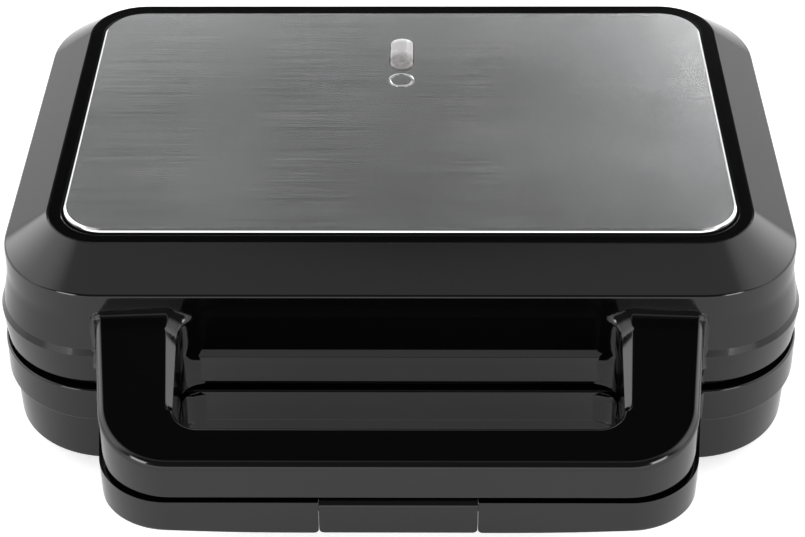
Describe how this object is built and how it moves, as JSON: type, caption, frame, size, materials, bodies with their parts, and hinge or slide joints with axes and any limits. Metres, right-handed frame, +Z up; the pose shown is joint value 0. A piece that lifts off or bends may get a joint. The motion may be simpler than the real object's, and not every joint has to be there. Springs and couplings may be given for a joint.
{
  "type": "sandwich toaster",
  "caption": "Countertop sandwich toaster with a hinged lid, pocketed cooking plates, looped handles on lid and base, and a locking clip.",
  "frame": {"origin": "middle of the whole toaster's footprint, on the surface that its feet stand on", "axes": "+X to the right seen from the handles, +Y to the hinge at the back, +Z up"},
  "size_m": [0.2852, 0.2628, 0.0913],
  "materials": {
    "housing_black": "gloss",
    "band_black": "high gloss",
    "panel_steel": "brushed side to side",
    "lens_white": "translucent",
    "lamp_ceramic": "moulded",
    "lamp_glass": "clear",
    "handle_black": "gloss",
    "cover_black": "fine texture",
    "screw_steel": "zinc plated",
    "pin_steel": "ground",
    "plate_nonstick": "non-stick coated casting",
    "element_sheath": "oxidised",
    "shield_aluminium": "mill finish",
    "thermostat_body": "glazed",
    "fuse_brass": "plain",
    "foot_rubber": "matte",
    "terminal_white": "moulded"
  },
  "bodies": {
    "base": {"base_housing": "housing_black", "bottom_cover": "cover_black", "bottom_cover_screws": "screw_steel", "rubber_feet": "foot_rubber", "lower_liner": "cover_black", "lower_cooking_plate": "plate_nonstick", "lower_plate_screws": "screw_steel", "lower_heating_element": "element_sheath", "lower_heat_shield": "shield_aluminium", "lower_handle": "handle_black", "lower_handle_cover": "cover_black", "lower_handle_bolts": "screw_steel", "lower_cover_screws": "screw_steel", "terminal_block": "terminal_white", "cord_inlet_bush": "foot_rubber", "hinge_pins": "pin_steel", "latch_pin": "pin_steel"},
    "lid": {"lid_housing": "housing_black", "lid_trim_band": "band_black", "steel_top_panel": "panel_steel", "indicator_lens": "lens_white", "lamp_holder": "lamp_ceramic", "neon_lamps": "lamp_glass", "upper_handle": "handle_black", "upper_handle_cover": "cover_black", "upper_handle_bolts": "screw_steel", "upper_cover_screws": "screw_steel", "upper_liner": "cover_black", "upper_cooking_plate": "plate_nonstick", "upper_plate_screws": "screw_steel", "upper_heating_element": "element_sheath", "upper_heat_shield": "shield_aluminium", "thermostat": "thermostat_body", "thermal_fuse": "fuse_brass"},
    "latch": {"latch_clip": "handle_black"}
  },
  "joints": [
    {"name": "lid_hinge", "type": "hinge", "parent": "base", "child": "lid", "pos_m": [0, 0.1268, 0.0415], "axis": [-1, 0, 0], "range_deg": [0, 105]},
    {"name": "latch_pivot", "type": "hinge", "parent": "base", "child": "latch", "pos_m": [0, -0.1269, 0.037], "axis": [-1, 0, 0], "range_deg": [0, 22]}
  ]
}
